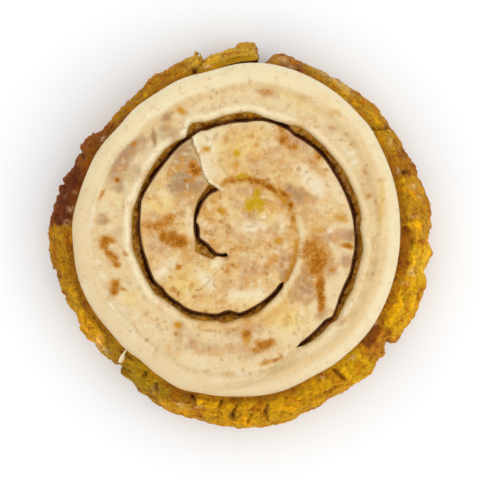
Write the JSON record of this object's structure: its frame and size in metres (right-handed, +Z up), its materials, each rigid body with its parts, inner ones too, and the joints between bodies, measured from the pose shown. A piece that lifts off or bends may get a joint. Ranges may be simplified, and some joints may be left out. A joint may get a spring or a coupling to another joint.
{
  "type": "cinnamon roll",
  "caption": "Round, low cinnamon roll: a spiral strip of coarse baked dough with a dark cinnamon seam and a poured cream icing top that leaves part of the spiral open.",
  "frame": {"origin": "centre of the footprint's bounding box, on the surface that the roll stands on", "axes": "+Z up through the iced top; seen from above the strip winds outwards clockwise, and its tail ends near +Y"},
  "size_m": [0.1005, 0.1018, 0.0292],
  "materials": {
    "baked_dough": "matte, coarse and crumbly yellow-ochre crust",
    "cinnamon_paste": "dark brown sugary paste, slightly moist",
    "poured_icing": "smooth cream icing with a soft sheen, thin and see-through in places"
  },
  "bodies": {
    "root": {"dough": "baked_dough", "cinnamon_filling": "cinnamon_paste", "icing": "poured_icing"}
  },
  "joints": []
}
